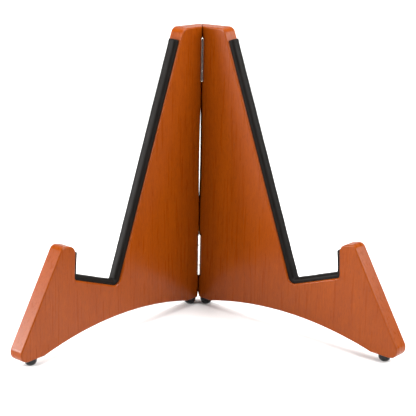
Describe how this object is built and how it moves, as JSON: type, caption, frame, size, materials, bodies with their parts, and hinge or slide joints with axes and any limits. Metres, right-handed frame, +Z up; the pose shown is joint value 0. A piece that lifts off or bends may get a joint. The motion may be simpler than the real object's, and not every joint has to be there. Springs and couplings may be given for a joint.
{
  "type": "folding guitar stand",
  "caption": "Folding wooden instrument stand: hinged profiled boards open to a right angle, with padded notches, spine hinges and rubber feet.",
  "frame": {"origin": "on the floor under the middle of the stand's footprint when it is open", "axes": "+Z up, +X to the right as seen from the open front, +Y towards the hinged corner at the back"},
  "size_m": [0.4422, 0.2333, 0.3481],
  "materials": {
    "stained_wood": "satin reddish brown stain",
    "black_foam": "soft closed-cell foam",
    "black_rubber": "smooth",
    "hinge_steel": "bright plated",
    "fastener_steel": "plated"
  },
  "bodies": {
    "left_side": {"left_panel": "stained_wood", "left_pad": "black_foam", "left_toe_foot": "black_rubber", "left_toe_foot_stud": "fastener_steel", "left_spine_foot": "black_rubber", "left_spine_foot_stud": "fastener_steel", "lower_hinge_left_leaf": "hinge_steel", "lower_hinge_left_screw_1": "fastener_steel", "lower_hinge_left_screw_2": "fastener_steel", "lower_hinge_left_screw_3": "fastener_steel", "lower_hinge_pin": "hinge_steel", "upper_hinge_left_leaf": "hinge_steel", "upper_hinge_left_screw_1": "fastener_steel", "upper_hinge_left_screw_2": "fastener_steel", "upper_hinge_left_screw_3": "fastener_steel", "upper_hinge_pin": "hinge_steel"},
    "right_side": {"right_panel": "stained_wood", "right_pad": "black_foam", "right_toe_foot": "black_rubber", "right_toe_foot_stud": "fastener_steel", "right_spine_foot": "black_rubber", "right_spine_foot_stud": "fastener_steel", "lower_hinge_right_leaf": "hinge_steel", "lower_hinge_right_screw_1": "fastener_steel", "lower_hinge_right_screw_2": "fastener_steel", "lower_hinge_right_screw_3": "fastener_steel", "upper_hinge_right_leaf": "hinge_steel", "upper_hinge_right_screw_1": "fastener_steel", "upper_hinge_right_screw_2": "fastener_steel", "upper_hinge_right_screw_3": "fastener_steel"}
  },
  "joints": [
    {"name": "spine_hinge", "type": "hinge", "parent": "left_side", "child": "right_side", "pos_m": [0, 0.08968, 0.185], "axis": [0, 0, -1], "range_deg": [0, 90]}
  ]
}
